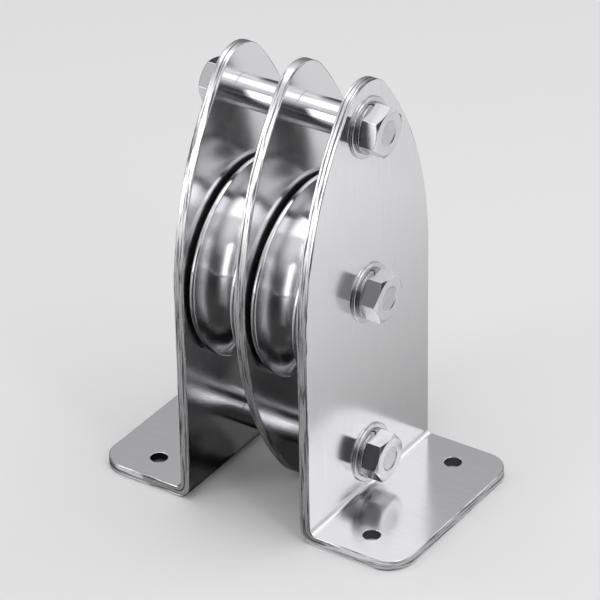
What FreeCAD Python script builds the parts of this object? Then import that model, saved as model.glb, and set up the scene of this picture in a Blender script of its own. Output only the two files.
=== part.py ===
import FreeCAD, Part
import math
import os

import Sketcher
from FreeCAD import Placement, Rotation, Vector

# Double block on two feet: two sheaves side by side between three plates.
# +X runs along the bolts from the nuts to the heads, -Y is the front, +Z is up.
# The origin is on the floor, midway between the feet, under the centre plate.

os.makedirs("parts", exist_ok=True)
doc = FreeCAD.newDocument("double_block")

# Sizes that can be set by themselves, in millimetres and degrees.
DRIVING = {
    # plates
    "plate_thickness": 4,
    "plate_width": 78,
    "side_radius": 120,
    "tip_radius": 14.75,
    "floor_clearance": 1.5,
    "top_bolt_inset": 17,
    "bottom_bolt_height": 17.25,
    "arris_bevel": 0.4,
    # feet
    "bend_radius": 2,
    "foot_reach": 36.5,
    "foot_corner_radius": 10,
    "foot_hole_diameter": 6.4,
    "foot_hole_setback": 18,
    "foot_hole_pitch": 54,
    # sheaves
    "sheave_diameter": 75,
    "sheave_width": 19,
    "groove_width": 15,
    "groove_depth": 7,
    "lip_bevel": 0.5,
    "web_recess": 2.5,
    "hub_diameter": 31,
    "recess_diameter": 54,
    # bearing of each sheave
    "sleeve_diameter": 16,
    "bush_wall": 2,
    "running_clearance": 0.05,
    "thrust_washer_diameter": 27,
    "thrust_washer_thickness": 1,
    "thrust_washer_clearance": 0.2,
    "side_clearance": 0.25,
    # bolts and nuts
    "bolt_diameter": 10,
    "hole_clearance": 0.5,
    "thread_clearance": 0.1,
    "across_flats": 16,
    "head_height": 6.4,
    "head_recess_diameter": 8.6,
    "head_recess_depth": 0.3,
    "hex_chamfer_rise": 0.9,
    "nut_height": 8,
    "bolt_projection": 1.5,
    "thread_lead": 1,
    "top_bolt_turn": 17,
    "axle_bolt_turn": 57,
    "bottom_bolt_turn": 5,
    "top_nut_turn": 50,
    "axle_nut_turn": 21,
    "bottom_nut_turn": 38,
    # washers and spacer tubes
    "flat_washer_diameter": 22,
    "flat_washer_thickness": 1,
    "spring_washer_diameter": 18.4,
    "spring_washer_thickness": 1.2,
    "spring_washer_slit": 1,
    "spring_washer_slant": 0.8,
    "spacer_diameter": 12,
}

# Places and fits that follow from those sizes.
DERIVED = {
    "plate_gap": "Sizes.sheave_width + 2 * (Sizes.thrust_washer_thickness + Sizes.side_clearance)",
    "inner_face": "Sizes.plate_thickness / 2 + plate_gap",
    "outer_face": "inner_face + Sizes.plate_thickness",
    "tip_rise": "sqrt((Sizes.side_radius - Sizes.tip_radius)^2"
                " - (Sizes.side_radius - Sizes.plate_width / 2)^2)",
    "tip_reach": "tip_rise + Sizes.tip_radius",
    "axle_height": "tip_reach + Sizes.floor_clearance",
    "top_height": "axle_height + tip_reach - Sizes.top_bolt_inset",
    "bend_height": "Sizes.bend_radius + Sizes.plate_thickness",
    "foot_end": "Sizes.plate_thickness + Sizes.foot_reach",
    "bolt_hole": "Sizes.bolt_diameter + Sizes.hole_clearance",
    "groove_radius": "((Sizes.groove_width / 2)^2 + Sizes.groove_depth^2) / (2 * Sizes.groove_depth)",
    "bush_bore": "Sizes.sleeve_diameter + 2 * Sizes.running_clearance",
    "hub_bore": "bush_bore + 2 * Sizes.bush_wall",
    "thrust_washer_bore": "Sizes.sleeve_diameter + 2 * Sizes.thrust_washer_clearance",
    "head_seat": "outer_face + Sizes.flat_washer_thickness + Sizes.spring_washer_thickness",
    "nut_seat": "outer_face + Sizes.flat_washer_thickness",
    "corner_radius": "Sizes.across_flats / 2 / cos(30deg)",
    "chamfer_circle": "corner_radius - Sizes.hex_chamfer_rise / tan(30deg)",
    "shank_length": "head_seat + nut_seat + Sizes.nut_height + Sizes.bolt_projection",
}


def fill_sheet(name, cells, prefix=""):
    sheet = doc.addObject("Spreadsheet::Sheet", name)
    for row, (alias, content) in enumerate(cells.items(), start=1):
        sheet.set(f"A{row}", alias)
        sheet.set(f"B{row}", prefix + str(content))
        sheet.setAlias(f"B{row}", alias)
    doc.recompute()
    return sheet


sizes = fill_sheet("Sizes", DRIVING)
layout = fill_sheet("Layout", DERIVED, prefix="=")


def value(expression):
    return float(layout.evalExpression(expression))


def new_body(label, x="0", z="0", turn="0"):
    """A body whose own origin lies on a bolt axis at x, z and is turned about that axis."""
    body = doc.addObject("PartDesign::Body", label)
    body.Label = label
    body.Placement = Placement(Vector(0, 0, 0), Rotation(Vector(1, 0, 0), value(turn)))
    body.setExpression("Placement.Base.x", x)
    body.setExpression("Placement.Base.z", z)
    if turn != "0":
        body.setExpression("Placement.Rotation.Angle", turn)
    return body


def new_sketch(body, name, role):
    sketch = body.newObject("Sketcher::SketchObject", name)
    plane = next(item for item in body.Origin.OriginFeatures if item.Role == role)
    sketch.AttachmentSupport = [(plane, "")]
    sketch.MapMode = "FlatFace"
    return sketch


def dimension(sketch, name, expression, kind, *where):
    index = sketch.addConstraint(Sketcher.Constraint(kind, *where, value(expression)))
    sketch.renameConstraint(index, name)
    sketch.setExpression("Constraints." + name, expression)


def relate(sketch, *relations):
    for relation in relations:
        sketch.addConstraint(Sketcher.Constraint(*relation))


def polygon(sketch, points, skip=()):
    """Closed chain of lines through the points; where an edge is skipped an arc takes its place."""
    count = len(points)
    for index in range(count):
        if index not in skip:
            first, last = points[index], points[(index + 1) % count]
            sketch.addGeometry(Part.LineSegment(Vector(*first, 0), Vector(*last, 0)))


def pad(body, sketch, length, reverse=False, both_ways=False):
    feature = body.newObject("PartDesign::Pad", sketch.Name + "_pad")
    feature.Profile = sketch
    feature.SideType = "Symmetric" if both_ways else "One side"
    feature.Reversed = reverse
    feature.setExpression("Length", length)
    doc.recompute()
    return feature


def cut_through(body, sketch, reverse=False):
    feature = body.newObject("PartDesign::Pocket", sketch.Name + "_cut")
    feature.Profile = sketch
    feature.Type = "ThroughAll"
    feature.Reversed = reverse
    doc.recompute()
    return feature


def turn_about_x(body, sketch, kind):
    feature = body.newObject(kind, sketch.Name + "_turned")
    feature.Profile = sketch
    feature.ReferenceAxis = (sketch, ["H_Axis"])
    feature.Angle = 360
    doc.recompute()
    return feature


def dress_edges(body, kind, size, wanted):
    """Rounds or bevels the edges of the body's tip that the test picks."""
    base = body.Tip
    names = [f"Edge{number}" for number, edge in enumerate(base.Shape.Edges, start=1) if wanted(edge)]
    feature = body.newObject(kind, f"{body.Name}_{kind.split('::')[1]}")
    feature.Base = (base, names)
    feature.setExpression("Radius" if kind.endswith("Fillet") else "Size", size)
    doc.recompute()
    return feature


def is_circle(edge, diameter, x=None):
    curve = edge.Curve
    if not isinstance(curve, Part.Circle) or abs(curve.Radius - diameter / 2) > 1e-4:
        return False
    return x is None or abs(curve.Center.x - x) < 1e-4


def circles(body, name, role, spots, diameter):
    """A sketch of equal circles; each spot is a pair of expressions for its centre, or None on an axis."""
    sketch = new_sketch(body, name, role)
    for number, (across, up) in enumerate(spots):
        centre = Vector(value(across or "0"), value(up or "0"), 0)
        sketch.addGeometry(Part.Circle(centre, Vector(0, 0, 1), value(diameter) / 2))
        if across is None and up is None:
            relate(sketch, ("Coincident", number, 3, -1, 1))
        elif across is None:
            relate(sketch, ("PointOnObject", number, 3, -2))
        else:
            dimension(sketch, f"across_{number}", across, "DistanceX", -1, 1, number, 3)
        if up is not None:
            dimension(sketch, f"up_{number}", up, "DistanceY", -1, 1, number, 3)
    dimension(sketch, "diameter", diameter, "Diameter", 0)
    for number in range(1, len(spots)):
        relate(sketch, ("Equal", 0, number))
    return sketch


# Plates

def tip_arcs(sketch, up):
    """Side, tip and side arcs of a pointed end above (up = 1) or below (up = -1) the axle height."""
    half, side, tip = value("Sizes.plate_width / 2"), sizes.side_radius, sizes.tip_radius
    rise = value("Layout.tip_rise")
    axle = value("Layout.axle_height")
    middle = Vector(0, axle + up * rise, 0)
    flank = Vector(half - side, axle, 0)
    touch = middle + (middle - flank).normalize() * tip
    ends = [Vector(half, axle, 0), touch, Vector(0, middle.y + up * tip, 0), Vector(-touch.x, touch.y, 0),
            Vector(-half, axle, 0)]
    bulge = flank + ((ends[0] - flank) + (touch - flank)).normalize() * side
    other = Vector(-bulge.x, bulge.y, 0)
    first = sketch.addGeometry(Part.Arc(ends[0], bulge, ends[1]))
    sketch.addGeometry(Part.Arc(ends[1], ends[2], ends[3]))
    sketch.addGeometry(Part.Arc(ends[3], other, ends[4]))
    # An arc always runs anticlockwise, so its ends swap on the lower tip.
    start, end = (1, 2) if up > 0 else (2, 1)
    relate(sketch,
           ("Tangent", first, end, first + 1, start),
           ("Tangent", first + 1, end, first + 2, start),
           ("Equal", first, first + 2))
    name = "top" if up > 0 else "bottom"
    dimension(sketch, name + "_tip", "Sizes.tip_radius", "Radius", first + 1)
    return first, start, end


def plate_holes(body):
    spots = [(None, "Sizes.bottom_bolt_height"), (None, "Layout.axle_height"), (None, "Layout.top_height")]
    cut_through(body, circles(body, body.Name + "_holes", "YZ_Plane", spots, "Layout.bolt_hole"), reverse=True)


def ease_outline(body):
    """Bevels the arris round both faces of a plate; the bevel runs on from the tip along the outline."""
    dress_edges(body, "PartDesign::Chamfer", "Sizes.arris_bevel",
                lambda edge: is_circle(edge, 2 * sizes.tip_radius))


def centre_plate():
    body = new_body("centre_plate", x="-Sizes.plate_thickness / 2")
    sketch = new_sketch(body, "centre_outline", "YZ_Plane")
    top, top_start, top_end = tip_arcs(sketch, 1)
    bottom, bottom_start, bottom_end = tip_arcs(sketch, -1)
    relate(sketch,
           ("Tangent", top, top_start, bottom, bottom_start),
           ("Tangent", top + 2, top_end, bottom + 2, bottom_end),
           ("Equal", top, bottom),
           ("Symmetric", top, top_start, top + 2, top_end, -2),
           ("Horizontal", top, top_start, top, 3),
           ("Horizontal", top + 2, top_end, top + 2, 3))
    dimension(sketch, "side_radius", "Sizes.side_radius", "Radius", top)
    dimension(sketch, "width", "Sizes.plate_width", "DistanceX", top + 2, top_end, top, top_start)
    dimension(sketch, "widest_at", "Layout.axle_height", "DistanceY", -1, 1, top, top_start)
    pad(body, sketch, "Sizes.plate_thickness")
    ease_outline(body)
    plate_holes(body)
    return body


def upright_sketch(body):
    sketch = new_sketch(body, body.Name + "_outline", "YZ_Plane")
    half = value("Sizes.plate_width / 2")
    low, axle = value("Layout.bend_height"), value("Layout.axle_height")
    first, start, end = tip_arcs(sketch, 1)
    left_side = sketch.addGeometry(Part.LineSegment(Vector(-half, axle, 0), Vector(-half, low, 0)))
    foot_line = sketch.addGeometry(Part.LineSegment(Vector(-half, low, 0), Vector(half, low, 0)))
    right_side = sketch.addGeometry(Part.LineSegment(Vector(half, low, 0), Vector(half, axle, 0)))
    relate(sketch,
           ("Tangent", first + 2, end, left_side, 1),
           ("Coincident", left_side, 2, foot_line, 1),
           ("Coincident", foot_line, 2, right_side, 1),
           ("Tangent", right_side, 2, first, start),
           ("Symmetric", right_side, 2, left_side, 1, -2),
           ("Vertical", left_side),
           ("Vertical", right_side),
           ("Horizontal", foot_line))
    dimension(sketch, "side_radius", "Sizes.side_radius", "Radius", first)
    dimension(sketch, "width", "Sizes.plate_width", "DistanceX", foot_line, 1, foot_line, 2)
    dimension(sketch, "bend_height", "Layout.bend_height", "DistanceY", -1, 1, foot_line, 1)
    dimension(sketch, "straight_to", "Layout.axle_height", "DistanceY", -1, 1, right_side, 2)
    return sketch


def foot_sketch(body):
    """Section of the foot and its bend, seen from the front: X across, Z up."""
    sketch = new_sketch(body, body.Name + "_foot", "XZ_Plane")
    thick, low, end = sizes.plate_thickness, value("Layout.bend_height"), value("Layout.foot_end")
    centre = Vector(low, low, 0)
    top = sketch.addGeometry(Part.LineSegment(Vector(thick, low, 0), Vector(0, low, 0)))
    quarter = (math.radians(180), math.radians(270))
    outside = sketch.addGeometry(Part.ArcOfCircle(Part.Circle(centre, Vector(0, 0, 1), low), *quarter))
    under = sketch.addGeometry(Part.LineSegment(Vector(low, 0, 0), Vector(end, 0, 0)))
    toe = sketch.addGeometry(Part.LineSegment(Vector(end, 0, 0), Vector(end, thick, 0)))
    upper = sketch.addGeometry(Part.LineSegment(Vector(end, thick, 0), Vector(low, thick, 0)))
    inside = sketch.addGeometry(Part.ArcOfCircle(Part.Circle(centre, Vector(0, 0, 1), low - thick), *quarter))
    relate(sketch,
           ("Coincident", top, 2, outside, 1),
           ("Tangent", outside, 2, under, 1),
           ("Coincident", under, 2, toe, 1),
           ("Coincident", toe, 2, upper, 1),
           ("Tangent", upper, 2, inside, 2),
           ("Coincident", inside, 1, top, 1),
           ("Coincident", outside, 3, inside, 3),
           ("Horizontal", top),
           ("Horizontal", under),
           ("Horizontal", upper),
           ("Vertical", toe),
           ("PointOnObject", top, 2, -2),
           ("PointOnObject", under, 1, -1))
    dimension(sketch, "thickness", "Sizes.plate_thickness", "DistanceY", toe, 1, toe, 2)
    dimension(sketch, "bend", "Sizes.bend_radius", "Radius", inside)
    dimension(sketch, "foot_end", "Layout.foot_end", "DistanceX", -1, 1, under, 2)
    relate(sketch, ("Horizontal", outside, 1, outside, 3))
    return sketch


def cheek_plate(label, side):
    """Outer plate with its foot, bent from one sheet; side is 1 on the right and -1 on the left."""
    body = new_body(label, x="Layout.inner_face" if side > 0 else "-Layout.inner_face")
    if side < 0:
        body.Placement = Placement(Vector(-value("Layout.inner_face"), 0, 0), Rotation(Vector(0, 0, 1), 180))
    pad(body, upright_sketch(body), "Sizes.plate_thickness")
    pad(body, foot_sketch(body), "Sizes.plate_width", both_ways=True)
    end = value("Layout.foot_end")
    dress_edges(body, "PartDesign::Fillet", "Sizes.foot_corner_radius",
                lambda edge: edge.BoundBox.XMin > end - 1e-4 and edge.BoundBox.YLength < 1e-4)
    ease_outline(body)
    plate_holes(body)
    spot = [("Sizes.plate_thickness + Sizes.foot_hole_setback", "Sizes.foot_hole_pitch / 2")]
    hole = cut_through(body, circles(body, label + "_foot_hole", "XY_Plane", spot, "Sizes.foot_hole_diameter"),
                       reverse=True)
    pair = body.newObject("PartDesign::Mirrored", label + "_foot_holes")
    pair.Originals = [hole]
    middle = next(item for item in body.Origin.OriginFeatures if item.Role == "XZ_Plane")
    pair.MirrorPlane = (middle, [""])
    body.Tip = pair
    doc.recompute()
    return body


# Sheaves

def sheave(label, x):
    """Grooved wheel turned about X, with a recess between hub and rim on both sides."""
    body = new_body(label, x=x, z="Layout.axle_height")
    sketch = new_sketch(body, label + "_section", "XZ_Plane")
    rim, half = sizes.sheave_diameter / 2, sizes.sheave_width / 2
    bore, hub = value("Layout.hub_bore / 2"), sizes.hub_diameter / 2
    web, outer = half - sizes.web_recess, sizes.recess_diameter / 2
    mouth = sizes.groove_width / 2
    points = [(-half, bore), (half, bore), (half, hub), (web, hub), (web, outer), (half, outer), (half, rim),
              (mouth, rim), (-mouth, rim), (-half, rim), (-half, outer), (-web, outer), (-web, hub), (-half, hub)]
    mouth_edge = points.index((mouth, rim))
    polygon(sketch, points, skip=(mouth_edge,))
    lines = len(points) - 1
    groove = sketch.addGeometry(Part.Arc(Vector(mouth, rim, 0), Vector(0, rim - sizes.groove_depth, 0),
                                         Vector(-mouth, rim, 0)))
    for line in range(lines):
        following = (line + 1) % lines
        if following != mouth_edge:
            relate(sketch, ("Coincident", line, 2, following, 1))
        if line > 0:
            relate(sketch, ("Vertical" if line in (1, 3, 5, 8, 10, 12) else "Horizontal", line))
    right_land, left_land = mouth_edge - 1, mouth_edge
    # The arc runs anticlockwise, from the left end of the mouth to the right end.
    relate(sketch,
           ("Coincident", groove, 1, left_land, 1),
           ("Coincident", groove, 2, right_land, 2),
           ("Symmetric", 0, 1, 0, 2, -2),
           ("Symmetric", right_land, 2, left_land, 1, -2),
           ("Symmetric", 3, 1, 10, 2, -2),
           ("Horizontal", 3, 2, 10, 1),
           ("Vertical", 5, 1, 0, 2),
           ("Vertical", 9, 1, 0, 1))
    dimension(sketch, "width", "Sizes.sheave_width", "DistanceX", 0, 1, 0, 2)
    dimension(sketch, "bore", "Layout.hub_bore / 2", "DistanceY", -1, 1, 0, 2)
    dimension(sketch, "hub", "Sizes.hub_diameter / 2", "DistanceY", -1, 1, 2, 1)
    dimension(sketch, "recess", "Sizes.web_recess", "DistanceX", 2, 2, 2, 1)
    dimension(sketch, "recess_rim", "Sizes.recess_diameter / 2", "DistanceY", -1, 1, 4, 1)
    dimension(sketch, "rim", "Sizes.sheave_diameter / 2", "DistanceY", -1, 1, 6, 1)
    dimension(sketch, "mouth", "Sizes.groove_width", "DistanceX", left_land, 1, right_land, 2)
    dimension(sketch, "groove", "Layout.groove_radius", "Radius", groove)
    turn_about_x(body, sketch, "PartDesign::Revolution")
    dress_edges(body, "PartDesign::Chamfer", "Sizes.lip_bevel",
                lambda edge: is_circle(edge, 2 * rim, half) or is_circle(edge, 2 * rim, -half))
    return body


# Rings: spacer tubes, bearing sleeves, bushes and washers

def ring(label, outer, bore, length, x, z):
    """Plain turned ring that starts at x and runs towards +X."""
    body = new_body(label, x=x, z=z)
    sketch = new_sketch(body, label + "_section", "YZ_Plane")
    for number, diameter in enumerate((outer, bore)):
        sketch.addGeometry(Part.Circle(Vector(0, 0, 0), Vector(0, 0, 1), value(diameter) / 2))
        relate(sketch, ("Coincident", number, 3, -1, 1))
        dimension(sketch, ("outer", "bore")[number], diameter, "Diameter", number)
    pad(body, sketch, length)
    return body


def spring_washer(label, z):
    """Split ring, drawn up flat: its slit is slanted and opens upward."""
    body = ring(label, "Sizes.spring_washer_diameter", "Layout.bolt_hole", "Sizes.spring_washer_thickness",
                "Layout.outer_face + Sizes.flat_washer_thickness", z)
    sketch = new_sketch(body, label + "_slit", "XY_Plane")
    thick, slant, slit = sizes.spring_washer_thickness, sizes.spring_washer_slant, sizes.spring_washer_slit
    polygon(sketch, [(0, -slit), (thick, slant - slit), (thick, slant), (0, 0)])
    relate(sketch,
           ("Coincident", 0, 2, 1, 1),
           ("Coincident", 1, 2, 2, 1),
           ("Coincident", 2, 2, 3, 1),
           ("Coincident", 3, 2, 0, 1),
           ("Vertical", 1),
           ("Vertical", 3),
           ("Coincident", 2, 2, -1, 1))
    dimension(sketch, "thickness", "Sizes.spring_washer_thickness", "DistanceX", 0, 1, 0, 2)
    dimension(sketch, "slit", "Sizes.spring_washer_slit", "DistanceY", 0, 1, 2, 2)
    dimension(sketch, "slit_end", "Sizes.spring_washer_slit", "DistanceY", 0, 2, 1, 2)
    dimension(sketch, "slant", "Sizes.spring_washer_slant", "DistanceY", 2, 2, 2, 1)
    cut_through(body, sketch, reverse=True)
    return body


# Bolts and nuts

def hexagon(body, name):
    """Regular hexagon round the axis, with a corner facing the front and one facing the back."""
    sketch = new_sketch(body, name, "YZ_Plane")
    corner = value("Layout.corner_radius")
    corners = [Rotation(Vector(0, 0, 1), 60 * number).multVec(Vector(corner, 0, 0)) for number in range(6)]
    polygon(sketch, [(point.x, point.y) for point in corners])
    circle = sketch.addGeometry(Part.Circle(Vector(0, 0, 0), Vector(0, 0, 1), corner), True)
    relate(sketch, ("Coincident", circle, 3, -1, 1))
    for side in range(6):
        relate(sketch,
               ("Coincident", side, 2, (side + 1) % 6, 1),
               ("PointOnObject", side, 1, circle))
    for side in range(1, 6):
        relate(sketch, ("Equal", 0, side))
    relate(sketch, ("Horizontal", 1))
    dimension(sketch, "corner", "Layout.corner_radius", "Radius", circle)
    return sketch


def crown_cut(body, name, face, inward):
    """Turns the corners off a hexagon at the face x; inward is the way into the metal, 1 or -1."""
    sketch = new_sketch(body, name, "XZ_Plane")
    inner, outer = value("Layout.chamfer_circle"), value("Layout.corner_radius + Sizes.hex_chamfer_rise")
    edge = value(face)
    depth = value("(Layout.corner_radius + Sizes.hex_chamfer_rise - Layout.chamfer_circle) * tan(30deg)")
    polygon(sketch, [(edge, inner), (edge, outer), (edge + inward * depth, outer)])
    relate(sketch,
           ("Coincident", 0, 2, 1, 1),
           ("Coincident", 1, 2, 2, 1),
           ("Coincident", 2, 2, 0, 1),
           ("Vertical", 0),
           ("Horizontal", 1))
    dimension(sketch, "circle", "Layout.chamfer_circle", "DistanceY", -1, 1, 0, 1)
    dimension(sketch, "outside", "Layout.corner_radius + Sizes.hex_chamfer_rise", "DistanceY", -1, 1, 1, 1)
    depth_ends = (1, 1, 1, 2) if inward > 0 else (1, 2, 1, 1)
    dimension(sketch, "depth",
              "(Layout.corner_radius + Sizes.hex_chamfer_rise - Layout.chamfer_circle) * tan(30deg)",
              "DistanceX", *depth_ends)
    if edge == 0:
        relate(sketch, ("PointOnObject", 0, 1, -2))
    elif edge > 0:
        dimension(sketch, "face", face, "DistanceX", -1, 1, 0, 1)
    else:
        dimension(sketch, "face", f"-({face})", "DistanceX", 0, 1, -1, 1)
    return turn_about_x(body, sketch, "PartDesign::Groove")


def face_recess(body, name):
    """Shallow round dish in the face of a bolt head."""
    sketch = new_sketch(body, name, "XZ_Plane")
    face, deep, radius = sizes.head_height, sizes.head_recess_depth, sizes.head_recess_diameter / 2
    polygon(sketch, [(face - deep, 0), (face, 0), (face, radius), (face - deep, radius - deep)])
    relate(sketch,
           ("Coincident", 0, 2, 1, 1),
           ("Coincident", 1, 2, 2, 1),
           ("Coincident", 2, 2, 3, 1),
           ("Coincident", 3, 2, 0, 1),
           ("PointOnObject", 0, 1, -1),
           ("Horizontal", 0),
           ("Vertical", 1),
           ("Vertical", 3))
    dimension(sketch, "face", "Sizes.head_height", "DistanceX", -1, 1, 0, 2)
    dimension(sketch, "depth", "Sizes.head_recess_depth", "DistanceX", 0, 1, 0, 2)
    dimension(sketch, "radius", "Sizes.head_recess_diameter / 2", "DistanceY", 1, 1, 1, 2)
    dimension(sketch, "floor", "Sizes.head_recess_diameter / 2 - Sizes.head_recess_depth", "DistanceY", 3, 2, 3, 1)
    return turn_about_x(body, sketch, "PartDesign::Groove")


def bolt(label, z, turn):
    """Hexagon bolt whose head bears at its own x = 0 and whose shank runs towards -X."""
    body = new_body(label, x="Layout.head_seat", z=z, turn=turn)
    pad(body, hexagon(body, label + "_head"), "Sizes.head_height")
    crown_cut(body, label + "_crown", "Sizes.head_height", -1)
    face_recess(body, label + "_recess")
    shank = circles(body, label + "_shank", "YZ_Plane", [(None, None)], "Sizes.bolt_diameter")
    pad(body, shank, "Layout.shank_length", reverse=True)
    dress_edges(body, "PartDesign::Chamfer", "Sizes.thread_lead",
                lambda edge: is_circle(edge, sizes.bolt_diameter, -value("Layout.shank_length")))
    return body


def nut(label, z, turn):
    """Hexagon nut that bears at its own x = 0 and runs towards -X."""
    body = new_body(label, x="-Layout.nut_seat", z=z, turn=turn)
    pad(body, hexagon(body, label + "_blank"), "Sizes.nut_height", reverse=True)
    crown_cut(body, label + "_outer_crown", "-Sizes.nut_height", 1)
    crown_cut(body, label + "_inner_crown", "0", -1)
    bore = circles(body, label + "_bore", "YZ_Plane", [(None, None)], "Sizes.bolt_diameter + Sizes.thread_clearance")
    cut_through(body, bore)
    return body


centre_plate()
cheek_plate("left_cheek_plate", -1)
cheek_plate("right_cheek_plate", 1)

# Each side has its sheave, bush and sleeve, two thrust washers and two spacer tubes between the plates.
for side, low_face in (("left", "-Layout.inner_face"), ("right", "Sizes.plate_thickness / 2")):
    middle = f"({low_face} + Layout.plate_gap / 2)"
    high_face = f"({low_face} + Layout.plate_gap)"
    sheave(f"{side}_sheave", middle)
    ring(f"{side}_sheave_bush", "Layout.hub_bore", "Layout.bush_bore", "Sizes.sheave_width",
         f"{middle} - Sizes.sheave_width / 2", "Layout.axle_height")
    ring(f"{side}_axle_sleeve", "Sizes.sleeve_diameter", "Layout.bolt_hole", "Layout.plate_gap", low_face,
         "Layout.axle_height")
    low_name, high_name = ("outer", "inner") if side == "left" else ("inner", "outer")
    ring(f"{side}_{low_name}_thrust_washer", "Sizes.thrust_washer_diameter", "Layout.thrust_washer_bore",
         "Sizes.thrust_washer_thickness", low_face, "Layout.axle_height")
    ring(f"{side}_{high_name}_thrust_washer", "Sizes.thrust_washer_diameter", "Layout.thrust_washer_bore",
         "Sizes.thrust_washer_thickness", f"{high_face} - Sizes.thrust_washer_thickness", "Layout.axle_height")
    for level, height in (("upper", "Layout.top_height"), ("lower", "Sizes.bottom_bolt_height")):
        ring(f"{level}_{side}_spacer", "Sizes.spacer_diameter", "Layout.bolt_hole", "Layout.plate_gap", low_face,
             height)

# Each of the three bolts has two washers under its head, and a washer and a nut at the far end.
for level, height in (("top", "Layout.top_height"), ("axle", "Layout.axle_height"),
                      ("bottom", "Sizes.bottom_bolt_height")):
    bolt(f"{level}_bolt", height, f"Sizes.{level}_bolt_turn")
    nut(f"{level}_nut", height, f"Sizes.{level}_nut_turn")
    spring_washer(f"{level}_spring_washer", height)
    ring(f"{level}_head_washer", "Sizes.flat_washer_diameter", "Layout.bolt_hole",
         "Sizes.flat_washer_thickness", "Layout.outer_face", height)
    ring(f"{level}_nut_washer", "Sizes.flat_washer_diameter", "Layout.bolt_hole",
         "Sizes.flat_washer_thickness", "-Layout.outer_face - Sizes.flat_washer_thickness", height)

doc.recompute()

failed = [item.Label for item in doc.Objects if "Invalid" in item.State or "Error" in item.State]
if failed:
    raise RuntimeError("not built: " + ", ".join(failed))

bodies = [item for item in doc.Objects if item.TypeId == "PartDesign::Body"]
for body in bodies:
    if body.Shape.isNull() or not body.Shape.isValid() or len(body.Shape.Solids) != 1:
        raise RuntimeError("bad solid: " + body.Label)
for body in bodies:
    body.Shape.exportStep(f"parts/{body.Label}.step")
    print(f"{body.Label}: {body.Shape.Volume:.1f} mm3")
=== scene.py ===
import math
import bpy
from mathutils import Matrix, Vector
from mathutils.geometry import delaunay_2d_cdt


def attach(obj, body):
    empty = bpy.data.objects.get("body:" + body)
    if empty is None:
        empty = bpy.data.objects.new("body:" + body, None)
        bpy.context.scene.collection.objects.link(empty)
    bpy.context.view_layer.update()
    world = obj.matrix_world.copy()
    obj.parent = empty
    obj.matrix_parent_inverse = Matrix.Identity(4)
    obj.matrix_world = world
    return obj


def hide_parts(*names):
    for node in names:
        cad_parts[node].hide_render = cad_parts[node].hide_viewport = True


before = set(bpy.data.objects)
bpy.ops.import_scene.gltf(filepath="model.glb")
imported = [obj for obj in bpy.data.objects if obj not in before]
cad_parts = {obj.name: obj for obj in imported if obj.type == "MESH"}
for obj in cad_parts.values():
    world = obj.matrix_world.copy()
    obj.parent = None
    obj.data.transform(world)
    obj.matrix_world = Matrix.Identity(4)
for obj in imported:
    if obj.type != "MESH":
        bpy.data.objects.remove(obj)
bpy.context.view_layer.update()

mm = 0.001
boltHeights = {"top": 148.4108 * mm, "axle": 83.4554 * mm, "bottom": 17.25 * mm}
axle = boltHeights["axle"]


# Meshes

def makeObject(name, verts, faces, normals=None, materials=(), faceSlots=None, uvs=None):
    # uvs holds a list of (u, v, lap) for each material; a strip that closes on itself runs on past its lap
    mesh = bpy.data.meshes.new(name)
    mesh.from_pydata([tuple(v) for v in verts], [], faces)
    mesh.validate()
    for material in materials:
        mesh.materials.append(material)
    if faceSlots:
        mesh.polygons.foreach_set("material_index", faceSlots)
    if uvs:
        layer = mesh.uv_layers.new(name="UVMap")
        for polygon in mesh.polygons:
            chosen = uvs[polygon.material_index]
            spots = [chosen[mesh.loops[loop].vertex_index] for loop in polygon.loop_indices]
            furthest = max(spot[1] for spot in spots)
            for loop, (u, v, lap) in zip(polygon.loop_indices, spots):
                layer.data[loop].uv = (u, v + lap) if furthest - v > lap / 2 > 0 else (u, v)
    mesh.shade_smooth()
    if normals:
        mesh.normals_split_custom_set_from_vertices([tuple(n) for n in normals])
    piece = bpy.data.objects.new(name, mesh)
    bpy.context.scene.collection.objects.link(piece)
    return piece


def arc(cx, cy, radius, start, end, steps, inward=False):
    # points with their normals; angles in degrees; inward turns the normals to the centre
    points = []
    for step in range(steps + 1):
        angle = math.radians(start + (end - start) * step / steps)
        nx, ny = math.cos(angle), math.sin(angle)
        sign = -1 if inward else 1
        points.append((cx + radius * nx, cy + radius * ny, sign * nx, sign * ny))
    return points


def easedProfile(corners, steps=4):
    # points with normals of a closed polygon, given anticlockwise, each corner rounded by its own radius
    points = []
    count = len(corners)
    for index, (x, y, radius) in enumerate(corners):
        here = Vector((x, y))
        before = (Vector(corners[index - 1][:2]) - here).normalized()
        after = (Vector(corners[(index + 1) % count][:2]) - here).normalized()
        half = before.angle(after) / 2
        reach = radius / math.tan(half)
        centre = here + (before + after).normalized() * (radius / math.sin(half))
        first, last = here + before * reach - centre, here + after * reach - centre
        turn = math.atan2(first.x * last.y - first.y * last.x, first.dot(last))
        base = math.atan2(first.y, first.x)
        convex = 1 if (before.x * after.y - before.y * after.x) < 0 else -1
        for step in range(steps + 1):
            angle = base + turn * step / steps
            nx, ny = math.cos(angle), math.sin(angle)
            points.append((centre.x + radius * nx, centre.y + radius * ny, convex * nx, convex * ny))
    return points


def turned(name, profile, height, segments, material, body, node):
    # a closed section (x, radius, normals) swept round the axis at the given height
    verts, normals, faces = [], [], []
    count = len(profile)
    for segment in range(segments):
        angle = 2 * math.pi * segment / segments
        ca, sa = math.cos(angle), math.sin(angle)
        for x, radius, nx, nr in profile:
            verts.append((x, radius * ca, height + radius * sa))
            normals.append((nx, nr * ca, nr * sa))
    for segment in range(segments):
        a, b = segment * count, ((segment + 1) % segments) * count
        for index in range(count):
            follow = (index + 1) % count
            faces.append((a + index, a + follow, b + follow, b + index))
    piece = makeObject(name, verts, faces, normals, [material])
    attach(piece, body)
    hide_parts(node)


# Materials

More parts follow.
